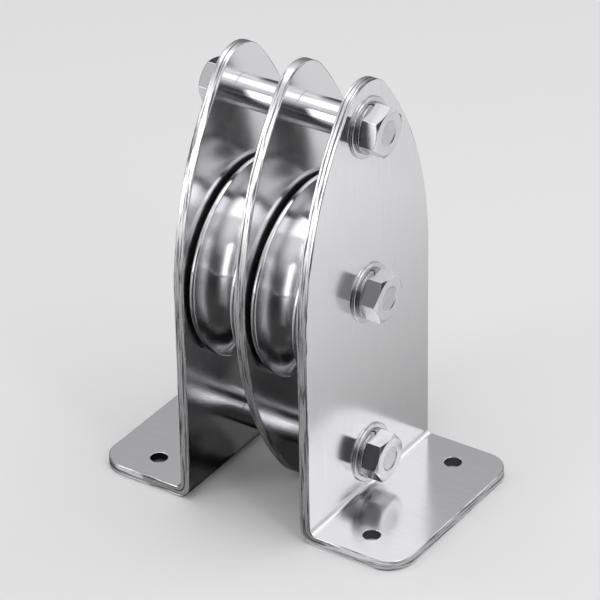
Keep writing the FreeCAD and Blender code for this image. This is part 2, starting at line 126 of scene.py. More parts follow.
def nodeTool(tree):
    def add(kind, **settings):
        node = tree.nodes.new(kind)
        for key, content in settings.items():
            if key in node.inputs:
                node.inputs[key].default_value = content
            else:
                setattr(node, key, content)
        return node
    return add, tree.links.new


def newGroup(name, inputs, outputs):
    tree = bpy.data.node_groups.new(name, "ShaderNodeTree")
    for label, kind, start in inputs:
        socket = tree.interface.new_socket(label, in_out="INPUT", socket_type=kind)
        if start is not None:
            socket.default_value = start
    for label, kind in outputs:
        tree.interface.new_socket(label, in_out="OUTPUT", socket_type=kind)
    add, join = nodeTool(tree)
    return tree, add, join, add("NodeGroupInput"), add("NodeGroupOutput")


noise = {
    "grain": {"Detail": 5.0, "Roughness": 0.65}, "haze": {"Detail": 6.0, "Roughness": 0.6},
    "rings": {"Detail": 4.0, "Roughness": 0.7}, "middle": 0.5,
}


def makeBrushedGrain():
    # long fine streaks along V of the sheet
    tree, add, join, given, result = newGroup(
        "brushedGrain",
        [("Vector", "NodeSocketVector", None), ("Fineness", "NodeSocketFloat", 900.0),
         ("Stretch", "NodeSocketFloat", 0.02)],
        [("Streaks", "NodeSocketFloat")])
    squeeze = add("ShaderNodeCombineXYZ", X=1.0, Z=1.0)
    join(given.outputs["Stretch"], squeeze.inputs["Y"])
    scaled = add("ShaderNodeVectorMath", operation="MULTIPLY")
    join(given.outputs["Vector"], scaled.inputs[0])
    join(squeeze.outputs[0], scaled.inputs[1])
    fine = add("ShaderNodeTexNoise", **noise["grain"])
    join(scaled.outputs[0], fine.inputs["Vector"])
    join(given.outputs["Fineness"], fine.inputs["Scale"])
    join(fine.outputs[0], result.inputs["Streaks"])
    return tree


def makeCloudyHaze():
    # slow patches where the polish is a little duller
    tree, add, join, given, result = newGroup(
        "cloudyHaze",
        [("Vector", "NodeSocketVector", None), ("Size", "NodeSocketFloat", 60.0),
         ("Contrast", "NodeSocketFloat", 1.0)],
        [("Mask", "NodeSocketFloat")])
    cloud = add("ShaderNodeTexNoise", **noise["haze"])
    join(given.outputs["Vector"], cloud.inputs["Vector"])
    join(given.outputs["Size"], cloud.inputs["Scale"])
    centred = add("ShaderNodeMath", operation="SUBTRACT")
    centred.inputs[1].default_value = noise["middle"]
    join(cloud.outputs[0], centred.inputs[0])
    strong = add("ShaderNodeMath", operation="MULTIPLY")
    join(centred.outputs[0], strong.inputs[0])
    join(given.outputs["Contrast"], strong.inputs[1])
    back = add("ShaderNodeMath", operation="ADD", use_clamp=True)
    back.inputs[1].default_value = noise["middle"]
    join(strong.outputs[0], back.inputs[0])
    join(back.outputs[0], result.inputs["Mask"])
    return tree


def makeTurnedMarks():
    # fine rings round the X axis at Axis Height, as left by a lathe
    tree, add, join, given, result = newGroup(
        "turnedMarks",
        [("Vector", "NodeSocketVector", None), ("Axis Height", "NodeSocketFloat", 0.0),
         ("Fineness", "NodeSocketFloat", 2500.0)],
        [("Rings", "NodeSocketFloat")])
    split = add("ShaderNodeSeparateXYZ")
    join(given.outputs["Vector"], split.inputs[0])
    lower = add("ShaderNodeMath", operation="SUBTRACT")
    join(split.outputs["Z"], lower.inputs[0])
    join(given.outputs["Axis Height"], lower.inputs[1])
    across = add("ShaderNodeCombineXYZ")
    join(split.outputs["Y"], across.inputs["X"])
    join(lower.outputs[0], across.inputs["Y"])
    radius = add("ShaderNodeVectorMath", operation="LENGTH")
    join(across.outputs[0], radius.inputs[0])
    section = add("ShaderNodeCombineXYZ")
    join(split.outputs["X"], section.inputs["X"])
    join(radius.outputs["Value"], section.inputs["Y"])
    marks = add("ShaderNodeTexNoise", **noise["rings"])
    join(section.outputs[0], marks.inputs["Vector"])
    join(given.outputs["Fineness"], marks.inputs["Scale"])
    join(marks.outputs[0], result.inputs["Rings"])
    return tree


def startMaterial(name, color, roughness):
    material = bpy.data.materials.new(name)
    material.use_nodes = True
    tree = material.node_tree
    tree.nodes.clear()
    add, join = nodeTool(tree)
    shader = add("ShaderNodeBsdfPrincipled")
    shader.inputs["Base Color"].default_value = (*color, 1)
    shader.inputs["Metallic"].default_value = 1
    shader.inputs["Roughness"].default_value = roughness
    output = add("ShaderNodeOutputMaterial")
    join(shader.outputs[0], output.inputs[0])
    return material, add, join, shader


def useGroup(add, join, tree, vector, **values):
    node = add("ShaderNodeGroup", node_tree=tree)
    for key, content in values.items():
        node.inputs[key.replace("_", " ")].default_value = content
    join(vector, node.inputs["Vector"])
    return node


def rangeOf(add, join, source, low, high, start=0.0, stop=1.0):
    node = add("ShaderNodeMapRange")
    node.inputs["From Min"].default_value = start
    node.inputs["From Max"].default_value = stop
    node.inputs["To Min"].default_value = low
    node.inputs["To Max"].default_value = high
    join(source, node.inputs["Value"])
    return node.outputs[0]


def bumpOf(add, join, height, shader, distance, strength):
    bump = add("ShaderNodeBump")
    bump.inputs["Strength"].default_value = strength
    bump.inputs["Distance"].default_value = distance
    join(height, bump.inputs["Height"])
    join(bump.outputs[0], shader.inputs["Normal"])


def colorBetween(add, join, factor, dark, light):
    mix = add("ShaderNodeMix", data_type="RGBA")
    mix.inputs[6].default_value = (*dark, 1)
    mix.inputs[7].default_value = (*light, 1)
    join(factor, mix.inputs[0])
    return mix.outputs[2]


grainGroup = makeBrushedGrain()
hazeGroup = makeCloudyHaze()
ringGroup = makeTurnedMarks()

sheetSteel = {
    "dark": (0.72, 0.72, 0.73), "light": (0.85, 0.85, 0.86), "smooth": 0.13, "dull": 0.22,
    "grainFineness": 1300.0, "grainStretch": 0.03, "grainDepth": 0.000008, "grainStrength": 0.35,
    "hazeSize": 55.0, "hazeContrast": 1.8,
}


def makePlateFace():
    s = sheetSteel
    material, add, join, shader = startMaterial("plateFace", s["light"], s["smooth"])
    place = add("ShaderNodeTexCoord")
    grain = useGroup(add, join, grainGroup, place.outputs["UV"],
                     Fineness=s["grainFineness"], Stretch=s["grainStretch"])
    haze = useGroup(add, join, hazeGroup, place.outputs["Object"],
                    Size=s["hazeSize"], Contrast=s["hazeContrast"])
    color = colorBetween(add, join, grain.outputs["Streaks"], s["dark"], s["light"])
    join(color, shader.inputs["Base Color"])
    join(rangeOf(add, join, haze.outputs["Mask"], s["smooth"], s["dull"]), shader.inputs["Roughness"])
    bumpOf(add, join, grain.outputs["Streaks"], shader, s["grainDepth"], s["grainStrength"])
    return material


edgeSteel = {
    "sheared": (0.80, 0.80, 0.81), "torn": (0.11, 0.11, 0.115), "smooth": 0.26, "dull": 0.44, "metal": 0.8,
    "tornFrom": 0.41, "tornTo": 0.51, "lineFineness": 1300.0, "lineStretch": 0.035,
    "lineDepth": 0.00004, "lineStrength": 0.6,
}


def makePlateEdge():
    # the cut edge: sheared bands and darker torn lines run along it
    s = edgeSteel
    material, add, join, shader = startMaterial("plateEdge", s["sheared"], s["smooth"])
    shader.inputs["Metallic"].default_value = s["metal"]
    place = add("ShaderNodeTexCoord")
    lines = useGroup(add, join, grainGroup, place.outputs["UV"],
                     Fineness=s["lineFineness"], Stretch=s["lineStretch"])
    sound = rangeOf(add, join, lines.outputs["Streaks"], 0, 1, s["tornFrom"], s["tornTo"])
    join(colorBetween(add, join, sound, s["torn"], s["sheared"]), shader.inputs["Base Color"])
    join(rangeOf(add, join, sound, s["dull"], s["smooth"]), shader.inputs["Roughness"])
    bumpOf(add, join, lines.outputs["Streaks"], shader, s["lineDepth"], s["lineStrength"])
    return material


turnedSteel = {
    # color, smooth and dull roughness, depth and fineness of the marks, spread of light along the axle
    "sheavePolish": ((0.79, 0.79, 0.81), 0.18, 0.28, 0.000005, 3200.0, 1.0),
    "tubePolish": ((0.79, 0.79, 0.81), 0.17, 0.27, 0.000004, 2600.0, 0.9),
    "sleeveGround": ((0.74, 0.74, 0.76), 0.15, 0.30, 0.00001, 3000.0, 0.0),
    "bushBronze": ((0.66, 0.50, 0.30), 0.2, 0.38, 0.00001, 2200.0, 0.0),
}
turnedHaze = {"size": 90.0, "contrast": 1.6, "markStrength": 0.3, "quarterTurn": 0.25}


def makeTurnedSteel(name):
    color, smooth, dull, depth, fineness, spread = turnedSteel[name]
    material, add, join, shader = startMaterial(name, color, smooth)
    if spread:
        # light spreads across the lathe marks, along the axle
        shader.inputs["Anisotropic"].default_value = spread
        shader.inputs["Anisotropic Rotation"].default_value = turnedHaze["quarterTurn"]
        marks = add("ShaderNodeTangent", direction_type="RADIAL", axis="X")
        join(marks.outputs[0], shader.inputs["Tangent"])
    place = add("ShaderNodeTexCoord")
    rings = useGroup(add, join, ringGroup, place.outputs["Object"], Axis_Height=axle, Fineness=fineness)
    haze = useGroup(add, join, hazeGroup, place.outputs["Object"],
                    Size=turnedHaze["size"], Contrast=turnedHaze["contrast"])
    both = add("ShaderNodeMath", operation="MULTIPLY")
    join(rings.outputs["Rings"], both.inputs[0])
    join(haze.outputs["Mask"], both.inputs[1])
    join(rangeOf(add, join, both.outputs[0], smooth, dull), shader.inputs["Roughness"])
    bumpOf(add, join, rings.outputs["Rings"], shader, depth, turnedHaze["markStrength"])
    return material


forgedSteel = {
    # color, smooth and dull roughness, size of the patches
    # the walls of the holes: a dark colour that is painted shade inside the holes
    "shadedHoleWall": ((0.16, 0.16, 0.165), 0.30, 0.45, 500.0),
    "boltSteel": ((0.76, 0.76, 0.77), 0.14, 0.24, 200.0),
    # the dish in the head is painted darker than the head: painted shade in the recess
    "boltDish": ((0.64, 0.64, 0.65), 0.22, 0.32, 300.0),
    "washerSteel": ((0.70, 0.70, 0.71), 0.12, 0.26, 320.0),
    # the spring washer is painted darker than the other washers: painted shade in the gap between the bolt
    # head and the flat washer
    "shadedSpringSteel": ((0.50, 0.50, 0.51), 0.18, 0.32, 320.0),
}
forgedHaze = {"contrast": 2.0, "shade": 0.86, "depth": 0.00001, "strength": 0.15}


def makeForgedSteel(name):
    color, smooth, dull, size = forgedSteel[name]
    material, add, join, shader = startMaterial(name, color, smooth)
    place = add("ShaderNodeTexCoord")
    haze = useGroup(add, join, hazeGroup, place.outputs["Object"], Size=size, Contrast=forgedHaze["contrast"])
    dark = tuple(part * forgedHaze["shade"] for part in color)
    join(colorBetween(add, join, haze.outputs["Mask"], color, dark), shader.inputs["Base Color"])
    join(rangeOf(add, join, haze.outputs["Mask"], smooth, dull), shader.inputs["Roughness"])
    bumpOf(add, join, haze.outputs["Mask"], shader, forgedHaze["depth"], forgedHaze["strength"])
    return material


plateFace = makePlateFace()
plateEdge = makePlateEdge()
shadedHoleWall = makeForgedSteel("shadedHoleWall")
sheavePolish = makeTurnedSteel("sheavePolish")
tubePolish = makeTurnedSteel("tubePolish")
sleeveGround = makeTurnedSteel("sleeveGround")
bushBronze = makeTurnedSteel("bushBronze")
boltSteel = makeForgedSteel("boltSteel")
boltDish = makeForgedSteel("boltDish")
washerSteel = makeForgedSteel("washerSteel")
shadedSpringSteel = makeForgedSteel("shadedSpringSteel")
print("materials made")

# Plates

sheet = {
    "thickness": 4 * mm, "width": 78 * mm, "sideRadius": 120 * mm, "tipRadius": 14.75 * mm,
    "innerFace": 23.5 * mm, "bendRadius": 2 * mm, "footEnd": 40.5 * mm,
    "footCorner": 10 * mm, "footHole": 3.2 * mm, "footHoleSetback": 18 * mm, "footHolePitch": 54 * mm,
    "boltHole": 5.25 * mm, "arris": 0.34 * mm, "holeArris": 0.25 * mm, "arrisSteps": 4, "tipSteps": 28,
    "bendSteps": 10, "cornerSteps": 12, "boltHoleSteps": 64, "footHoleSteps": 40, "snap": 1e-7,
    "insideHole": 0.999,
}


def tipOutline(steps):
    # right side, tip and left side of the pointed end, as (y, height above the axle, normals)
    half, side, tip = sheet["width"] / 2, sheet["sideRadius"], sheet["tipRadius"]
    rise = math.sqrt((side - tip) ** 2 - (side - half) ** 2)
    swing = math.degrees(math.atan2(rise, side - half))
    right = arc(half - side, 0, side, 0, swing, steps)
    crown = arc(0, rise, tip, swing, 180 - swing, steps)
    left = arc(side - half, 0, side, 180 - swing, 180, steps)
    return right + crown[1:] + left[1:]


def circleOutline(cy, cz, radius, steps):
    return arc(cy, cz, radius, 0, 360 * (steps - 1) / steps, steps - 1)


def fillSheet(outline, holes, rows):
    # triangles between an outline and its holes, with the rows as lines across
    points, edges = [], []
    for loop in [outline] + holes:
        start = len(points)
        points += [Vector(p) for p in loop]
        edges += [(start + i, start + (i + 1) % len(loop)) for i in range(len(loop))]
    edges += rows
    made, _, faces, *_ = delaunay_2d_cdt(points, edges, [], 1, sheet["snap"])
    if len(made) != len(points):
        raise RuntimeError("the sheet's outline gained points")
    centres = []
    for loop in holes:
        middle = sum((Vector(p) for p in loop), Vector((0, 0))) / len(loop)
        centres.append((middle, (Vector(loop[0]) - middle).length))
    kept = []
    for face in faces:
        middle = sum((made[i] for i in face), Vector((0, 0))) / 3
        if all((middle - centre).length > radius * sheet["insideHole"] for centre, radius in centres):
            kept.append(tuple(face))
    return kept


def buildSheet(name, outline, holes, rows, bend, place, node):
    thick, arris, steps = sheet["thickness"], sheet["arris"], sheet["arrisSteps"]
    loops = [(outline, arris, 1)] + [(hole, sheet["holeArris"], -1) for hole in holes]
    layers = []
    for step in range(steps + 1):
        angle = math.pi / 2 * step / steps
        layers.append((math.sin(angle), math.cos(angle)))
    verts, normals, faceUvs, edgeUvs, faces, slots = [], [], [], [], [], []

    def put(y, s, depth, ny, ns, nn, run, lap):
        spot, along, out = bend(s, depth)
        verts.append(place @ Vector((spot[0], y, spot[1])))
        normal = Vector((along[0] * ns + out[0] * nn, ny, along[1] * ns + out[1] * nn)).normalized()
        normals.append(place.to_3x3() @ normal)
        faceUvs.append((y, s, 0))
        edgeUvs.append((depth, run, lap))

    rings = []
    for points, ease, turn in loops:
        ring = []
        for level, (sine, cosine) in enumerate(layers):
            ring.append((ease * (1 - sine), ease * (1 - cosine), sine, -cosine))
        upper = [(d, thick - n, side, -up) for d, n, side, up in reversed(ring)]
        runs = [0]
        for here, there in zip(points, points[1:] + points[:1]):
            runs.append(runs[-1] + math.hypot(there[0] - here[0], there[1] - here[1]))
        started = []
        for d, n, side, up in ring + upper:
            started.append(len(verts))
            for (y, s, ny, ns), run in zip(points, runs):
                inY, inS = turn * ny, turn * ns
                put(y - inY * d, s - inS * d, n, inY * side, inS * side, up, run, runs[-1])
        rings.append(started)
        for level, (low, high) in enumerate(zip(started, started[1:])):
            for i in range(len(points)):
                j = (i + 1) % len(points)
                quad = (low + i, low + j, high + j, high + i)
                faces.append(quad if turn > 0 else quad[::-1])
                # the straight wall of each hole takes the hole-wall colour, painted shade inside the hole
                slots.append(2 if turn < 0 and level == steps else 1)
    flat = [[(y - turn * ny * ease, s - turn * ns * ease) for y, s, ny, ns in points]
            for points, ease, turn in loops]
    triangles = fillSheet(flat[0], flat[1:], rows)
    for bottom in (True, False):
        index = []
        for (points, ease, turn), started in zip(loops, rings):
            first = started[0] if bottom else started[-1]
            index += [first + i for i in range(len(points))]
        for triangle in triangles:
            corner = tuple(index[i] for i in triangle)
            faces.append(corner[::-1] if bottom else corner)
            slots.append(0)
    piece = makeObject(name, verts, faces, normals, [plateFace, plateEdge, shadedHoleWall], slots,
                       [faceUvs, edgeUvs, edgeUvs])
    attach(piece, "frame")
    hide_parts(node)


def boltHoles(base):
    # holes for the three bolts; base turns a height into the distance along the sheet
    return [circleOutline(0, base(boltHeights[level]), sheet["boltHole"], sheet["boltHoleSteps"])
            for level in ("bottom", "axle", "top")]


def buildCentrePlate():
    top = tipOutline(sheet["tipSteps"])
    bottom = [(-y, -z, -ny, -nz) for y, z, ny, nz in top]
    outline = [(y, z + axle, ny, nz) for y, z, ny, nz in top[:-1] + bottom[:-1]]
    place = Matrix.Translation((-sheet["thickness"] / 2, 0, 0))

    def flat(s, depth):
        return (depth, s), (0, 1), (1, 0)

    buildSheet("centrePlate", outline, boltHoles(lambda z: z), [], flat, place, "centre_plate")


def buildCheekPlate(name, side, node):
    thick, half, corner = sheet["thickness"], sheet["width"] / 2, sheet["footCorner"]
    low = sheet["bendRadius"] + thick
    footRun = sheet["footEnd"] - low
    bendRun = (low - thick / 2) * math.pi / 2
    upright = footRun + bendRun - low
    bendSteps, cornerSteps = sheet["bendSteps"], sheet["cornerSteps"]
    bendRows = [footRun + bendRun * i / bendSteps for i in range(bendSteps + 1)]
    toe = (arc(-half + corner, corner, corner, 180, 270, cornerSteps)
           + arc(half - corner, corner, corner, 270, 360, cornerSteps))
    rightSide = [(half, s, 1, 0) for s in bendRows]
    leftSide = [(-half, s, -1, 0) for s in reversed(bendRows)]
    top = [(y, z + axle + upright, ny, nz) for y, z, ny, nz in tipOutline(sheet["tipSteps"])]
    outline = toe + rightSide + top + leftSide
    firstRow = len(toe)
    lastRow = len(toe) + len(rightSide) + len(top)
    rows = [(firstRow + i, lastRow + len(bendRows) - 1 - i) for i in range(len(bendRows))]
    holes = boltHoles(lambda z: z + upright)
    holeRow = sheet["footEnd"] - thick - sheet["footHoleSetback"]
    for across in (-1, 1):
        holes.append(circleOutline(across * sheet["footHolePitch"] / 2, holeRow, sheet["footHole"],
                                   sheet["footHoleSteps"]))

    def bent(s, depth):
        # place, direction along the sheet and way out of the upper face, in the plane of X and Z
        if s <= footRun:
            return (sheet["footEnd"] - s, depth), (-1, 0), (0, 1)
        if s >= footRun + bendRun:
            return (depth, s - upright), (0, 1), (1, 0)
        angle = (s - footRun) / bendRun * math.pi / 2
        reach = low - depth
        sine, cosine = math.sin(angle), math.cos(angle)
        return (low - reach * sine, low - reach * cosine), (-cosine, sine), (sine, cosine)

    place = Matrix.Translation((side * sheet["innerFace"], 0, 0))
    if side < 0:
        place = place @ Matrix.Rotation(math.pi, 4, "Z")
    buildSheet(name, outline, holes, rows, bent, place, node)


buildCentrePlate()
buildCheekPlate("rightCheekPlate", 1, "right_cheek_plate")
buildCheekPlate("leftCheekPlate", -1, "left_cheek_plate")
print("plates made")

# Sheaves

wheel = {
    "middle": 12.75 * mm, "radius": 37.5 * mm, "halfWidth": 9.5 * mm, "grooveHalf": 7.5 * mm,
    "grooveDepth": 7 * mm, "lip": 0.9 * mm, "webHalf": 7 * mm, "recessRadius": 27 * mm,
    "hubRadius": 15.5 * mm, "bore": 10.05 * mm, "fillet": 1.5 * mm, "hubEase": 0.4 * mm, "segments": 192,
    "grooveSteps": 26, "lipSteps": 6, "filletSteps": 5, "easeSteps": 3,
}


def buildSheave(name, side, body, node):
    w = wheel
    lip, rim = w["lip"], w["radius"]
    depth, mouth = w["grooveDepth"], w["grooveHalf"]
    grooveRadius = (mouth ** 2 + depth ** 2) / (2 * depth)
    grooveHeight = rim - depth + grooveRadius
    drop = grooveHeight - (rim - lip)
    lipMiddle = math.sqrt((grooveRadius + lip) ** 2 - drop ** 2)
    swing = math.degrees(math.atan2(lipMiddle, drop))
    half = w["halfWidth"]
    # right half from the groove's floor over the lip to the side, recess and hub, then its mirror image
    floor = arc(0, grooveHeight, grooveRadius, 270, 270 + swing, w["grooveSteps"], inward=True)
    inner = arc(lipMiddle, rim - lip, lip, 90 + swing, 90, w["lipSteps"])
    outer = arc(half - lip, rim - lip, lip, 90, 0, w["lipSteps"])
    fillet, ease, web = w["fillet"], w["hubEase"], w["webHalf"]
    filletSteps, easeSteps = w["filletSteps"], w["easeSteps"]
    recess = (arc(half - ease, w["recessRadius"] + ease, ease, 0, -90, easeSteps)
              + arc(web + fillet, w["recessRadius"] - fillet, fillet, 90, 180, filletSteps, inward=True)
              + arc(web + fillet, w["hubRadius"] + fillet, fillet, 180, 270, filletSteps, inward=True)
              + arc(half - ease, w["hubRadius"] - ease, ease, 90, 0, easeSteps)
              + arc(half - ease, w["bore"] + ease, ease, 0, -90, easeSteps))
    right = floor[1:] + inner[1:] + outer + recess
    left = [(-x, r, -nx, nr) for x, r, nx, nr in reversed(right)]
    profile = [(x + side * w["middle"], r, nx, nr) for x, r, nx, nr in [floor[0]] + right + left]
    turned(name, profile[::-1], axle, w["segments"], sheavePolish, body, node)


buildSheave("rightSheave", 1, "right_sheave", "right_sheave")
buildSheave("leftSheave", -1, "left_sheave", "left_sheave")
print("sheaves made")

# Spacer tubes

tube = {
    "radius": 6 * mm, "bore": 5.25 * mm, "start": 2 * mm, "length": 21.5 * mm, "ease": 0.25 * mm,
    "segments": 96,
}


def buildSpacer(name, start, height, node):
    end, outer, bore, ease = start + tube["length"], tube["radius"], tube["bore"], tube["ease"]
    corners = [(end, bore, ease), (end, outer, ease), (start, outer, ease), (start, bore, ease)]
    turned(name, easedProfile(corners), height, tube["segments"], tubePolish, "frame", node)


for row, level in (("upper", "top"), ("lower", "bottom")):
    buildSpacer(f"{row}RightSpacer", tube["start"], boltHeights[level], f"{row}_right_spacer")
    buildSpacer(f"{row}LeftSpacer", -tube["start"] - tube["length"], boltHeights[level], f"{row}_left_spacer")
print("spacer tubes made")

# Washers

washer = {
    "face": 27.5 * mm, "radius": 11 * mm, "bore": 5.25 * mm, "thickness": 1 * mm, "ease": 0.32 * mm,
    "boreEase": 0.1 * mm, "springRadius": 9.2 * mm, "springThickness": 1.2 * mm, "springEase": 0.28 * mm,
    "slit": 1 * mm, "slant": 0.8 * mm, "segments": 96, "sharpAngle": math.radians(35),
}


def buildFlatWasher(name, start, height, node):
    w = washer
    end = start + w["thickness"]
    corners = [(end, w["bore"], w["boreEase"]), (end, w["radius"], w["ease"]),
               (start, w["radius"], w["ease"]), (start, w["bore"], w["boreEase"])]
    turned(name, easedProfile(corners), height, w["segments"], washerSteel, "frame", node)


def buildSpringWasher(name, height, node):
    # split ring: the slit is at the top and slants across the thickness
    w = washer
    start = w["face"] + w["thickness"]
    end = start + w["springThickness"]
    corners = [(end, w["bore"], w["boreEase"]), (end, w["springRadius"], w["springEase"]),
               (start, w["springRadius"], w["springEase"]), (start, w["bore"], w["boreEase"])]
    section = easedProfile(corners)
    count, steps = len(section), w["segments"]
    verts, faces = [], []
    for step in range(steps + 1):
        part = step / steps
        for x, radius, _, _ in section:
            across = w["slant"] * (x - start) / w["springThickness"]
            first = math.acos(max(-1, min(1, across / radius)))
            last = math.acos(max(-1, min(1, (across - w["slit"]) / radius)))
            angle = last + (2 * math.pi - (last - first)) * part
            verts.append((x, radius * math.cos(angle), height + radius * math.sin(angle)))
    for step in range(steps):
        a, b = step * count, (step + 1) * count
        for i in range(count):
            j = (i + 1) % count
            faces.append((a + i, a + j, b + j, b + i))
    for step in (0, steps):
        base = len(verts)
        verts += verts[step * count:(step + 1) * count]
        cap = tuple(range(base, base + count))
        faces.append(cap if step else cap[::-1])
    # its darker colour is painted shade between the head and the flat washer
    piece = makeObject(name, verts, faces, None, [shadedSpringSteel])
    piece.data.set_sharp_from_angle(angle=w["sharpAngle"])
    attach(piece, "frame")
    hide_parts(node)


for level, height in boltHeights.items():
    buildFlatWasher(f"{level}HeadWasher", washer["face"], height, f"{level}_head_washer")
    buildFlatWasher(f"{level}NutWasher", -washer["face"] - washer["thickness"], height, f"{level}_nut_washer")
    buildSpringWasher(f"{level}SpringWasher", height, f"{level}_spring_washer")
print("washers made")

# Bolts and nuts

hexagon = {
    "flats": 16 * mm, "crownRise": 0.9 * mm, "crownAngle": math.pi / 6, "headHeight": 6.4 * mm,
    "dishRadius": 4.3 * mm, "dishDepth": 0.3 * mm, "headSeat": 29.7 * mm, "nutSeat": 28.5 * mm,
    "nutHeight": 8 * mm, "nutPlay": 0.05 * mm, "nutChamfer": 0.5 * mm,
    "edge": 0.22 * mm, "edgeSegments": 2, "edgeAngle": math.radians(22), "sideSteps": 10,
    "boltTurns": {"top": 17, "axle": 57, "bottom": 5}, "nutTurns": {"top": 50, "axle": 21, "bottom": 38},
}
hexCorner = hexagon["flats"] / 2 / math.cos(math.pi / 6)
crownCircle = hexCorner - hexagon["crownRise"] / math.tan(hexagon["crownAngle"])
shank = {
    "radius": 5 * mm, "end": -38 * mm, "tip": 3.2 * mm, "pitch": 1.5 * mm, "threadDepth": 0.8 * mm,
    "threadLength": 7.5 * mm, "runOut": 0.4 * mm, "lead": 1 * mm, "rows": 46, "rise": 1.25, "land": 0.12,
}


def hexRing(turn):
    # (cosine, sine, radius) round a hexagon whose first corner is at the given angle
    sideSteps = hexagon["sideSteps"]
    ring = []
    for side in range(6):
        first, last = math.radians(turn + 60 * side), math.radians(turn + 60 * side + 60)
        a = Vector((math.cos(first), math.sin(first))) * hexCorner
        b = Vector((math.cos(last), math.sin(last))) * hexCorner
        for step in range(sideSteps):
            spot = a.lerp(b, step / sideSteps)
            ring.append((spot.x / spot.length, spot.y / spot.length, spot.length))
    return ring


def crownDrop(radius):
    # how far the rounded end of the hexagon has fallen away at this radius
    return max(0.0, (radius - crownCircle) * math.tan(hexagon["crownAngle"]))


def flatRing(ring, x, radius):
    return [(x, c * radius, s * radius) for c, s, _ in ring]


def buildHex(name, rings, height, node, solid):
    # rings of equal count, each a list of (x, y, z above the axis); a solid one is closed by a face at each
    # end, and any other one has a bore that leads from its last ring back to its first
    verts = [(x, y, z + height) for ring in rings for x, y, z in ring]
    count = len(rings[0])
    faces = []
    for level in range(len(rings) - 1):
        a, b = level * count, (level + 1) * count
        for i in range(count):
            j = (i + 1) % count
            faces.append((a + j, b + j, b + i, a + i))
    last = (len(rings) - 1) * count
    if solid:
        faces.append(tuple(reversed(range(count))))
        faces.append(tuple(range(last, last + count)))
        # the dish in the head: its wall and its floor
        slots = [0] * (len(faces) - count - 2) + [1] * count + [0, 1]
    else:
        for i in range(count):
            j = (i + 1) % count
            faces.append((last + j, j, i, last + i))
        slots = [0] * len(faces)
    piece = makeObject(name, verts, faces, None, [boltSteel, boltDish], slots)
    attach(piece, "frame")
    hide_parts(node)
    easeEdges(piece)


def easeEdges(piece):
    bevel = piece.modifiers.new("ease", "BEVEL")
    bevel.width = hexagon["edge"]
    bevel.segments = hexagon["edgeSegments"]
    bevel.limit_method = "ANGLE"
    bevel.angle_limit = hexagon["edgeAngle"]
    bevel.harden_normals = True
    bpy.context.view_layer.objects.active = piece
    bpy.context.view_layer.update()
    shaped = bpy.data.meshes.new_from_object(piece.evaluated_get(bpy.context.evaluated_depsgraph_get()))
    piece.modifiers.clear()
    piece.data = shaped


def threadRadius(x, angle):
    # vee thread on the shank, fading in over the lead at the end
    phase = (x / shank["pitch"] - angle / (2 * math.pi)) % 1
    wave = abs(2 * phase - 1)
    cut = shank["threadDepth"] * min(1, max(0, shank["rise"] * wave - shank["land"]))
    lead = max(0, shank["lead"] - abs(x - shank["end"]))
    return shank["radius"] - max(cut, lead)


def buildBolt(name, level, height, node):
    h = hexagon
    ring = hexRing(h["boltTurns"][level])
    seat, top = h["headSeat"], h["headSeat"] + h["headHeight"]
    end = shank["end"]
    rings = [flatRing(ring, end, shank["tip"])]
    for row in range(shank["rows"] + 1):
        x = end + shank["threadLength"] * row / shank["rows"]
        line = []
        for c, s, _ in ring:
            radius = threadRadius(x, math.atan2(s, c))
            line.append((x, c * radius, s * radius))
        rings.append(line)
    rings += [
        flatRing(ring, end + shank["threadLength"] + shank["runOut"], shank["radius"]),
        flatRing(ring, seat, shank["radius"]),
        [(seat, c * r, s * r) for c, s, r in ring],
        [(top - crownDrop(r), c * r, s * r) for c, s, r in ring],
        flatRing(ring, top, crownCircle),
        flatRing(ring, top, h["dishRadius"] + h["dishDepth"]),
        flatRing(ring, top - h["dishDepth"], h["dishRadius"] - h["dishDepth"]),
    ]
    buildHex(name, rings, height, node, True)


def buildNut(name, level, height, node):
    h = hexagon
    ring = hexRing(h["nutTurns"][level])
    seat, far = -h["nutSeat"], -h["nutSeat"] - h["nutHeight"]
    bore, chamfer = shank["radius"] + h["nutPlay"], h["nutChamfer"]
    rings = [
        flatRing(ring, far + chamfer, bore),
        flatRing(ring, far, bore + chamfer),
        flatRing(ring, far, crownCircle),
        [(far + crownDrop(r), c * r, s * r) for c, s, r in ring],
        [(seat - crownDrop(r), c * r, s * r) for c, s, r in ring],
        flatRing(ring, seat, crownCircle),
        flatRing(ring, seat, bore + chamfer),
        flatRing(ring, seat - chamfer, bore),
    ]
    buildHex(name, rings, height, node, False)


for level, height in boltHeights.items():
    buildBolt(f"{level}Bolt", level, height, f"{level}_bolt")
    buildNut(f"{level}Nut", level, height, f"{level}_nut")
print("bolts and nuts made")

# Bearings stay as they come from the frame and get their finish

for node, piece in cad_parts.items():
    material = None
    if "bush" in node or "thrust" in node:
        material = bushBronze
    elif "sleeve" in node:
        material = sleeveGround
    if material:
        for place in piece.material_slots:
            place.material = material
print("bearings finished")

# Studio

